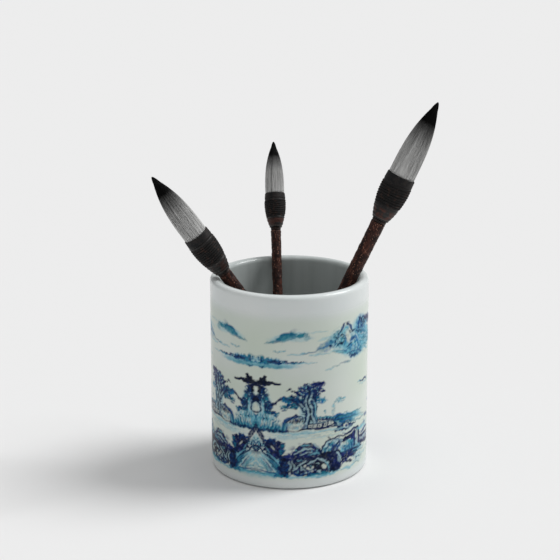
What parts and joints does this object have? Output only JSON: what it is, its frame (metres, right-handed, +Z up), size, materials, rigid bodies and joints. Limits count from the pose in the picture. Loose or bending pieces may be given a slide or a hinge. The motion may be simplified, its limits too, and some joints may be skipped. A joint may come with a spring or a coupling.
{
  "type": "brush holder pot",
  "caption": "Cylindrical glazed pot with a rounded lip, holding calligraphy brushes that lean on its rim, hair up, and lift out along their handles.",
  "frame": {"origin": "centre of the pot's foot, on the surface that it stands on", "axes": "+Z up along the pot's axis, -Y towards the painted front that the picture faces, +X to the viewer's right"},
  "size_m": [0.1745, 0.1201, 0.2349],
  "materials": {
    "glaze": "pale green-white glaze with a blue underglaze landscape, gloss",
    "handle_wood": "rough, speckled dark reddish brown",
    "horn": "black horn, satin",
    "neck_lacquer": "dark red-brown lacquer, satin",
    "bell_lacquer": "black lacquered wood, satin",
    "cord": "black waxed cord",
    "collar_lacquer": "blue-black lacquer, matt",
    "hair": "grey hair with ink-black tips",
    "core_hair": "dark stiff hair",
    "thread": "undyed thread",
    "resin": "amber resin"
  },
  "bodies": {
    "pot": {"pot_body": "glaze"},
    "left_brush": {"left_handle": "handle_wood", "left_tail_cap": "horn", "left_neck_ring": "neck_lacquer", "left_bell": "bell_lacquer", "left_winding": "cord", "left_collar": "collar_lacquer", "left_root_resin": "resin", "left_root_binding": "thread", "left_tuft_core": "core_hair", "left_tuft_mantle": "hair"},
    "centre_brush": {"centre_handle": "handle_wood", "centre_tail_cap": "horn", "centre_neck_ring": "neck_lacquer", "centre_bell": "bell_lacquer", "centre_winding": "cord", "centre_collar": "collar_lacquer", "centre_root_resin": "resin", "centre_root_binding": "thread", "centre_tuft_core": "core_hair", "centre_tuft_mantle": "hair"},
    "right_brush": {"right_handle": "handle_wood", "right_tail_cap": "horn", "right_neck_ring": "neck_lacquer", "right_bell": "bell_lacquer", "right_winding": "cord", "right_collar": "collar_lacquer", "right_root_resin": "resin", "right_root_binding": "thread", "right_tuft_core": "core_hair", "right_tuft_mantle": "hair"}
  },
  "joints": [
    {"name": "left_brush_lift", "type": "slide", "parent": "pot", "child": "left_brush", "axis": [-0.5685, -0.0951, 0.8171], "range_m": [0, 0.16]},
    {"name": "centre_brush_lift", "type": "slide", "parent": "pot", "child": "centre_brush", "axis": [-0.0308, 0.3911, 0.9198], "range_m": [0, 0.16]},
    {"name": "right_brush_lift", "type": "slide", "parent": "pot", "child": "right_brush", "axis": [0.4277, 0.0322, 0.9033], "range_m": [0, 0.16]}
  ]
}
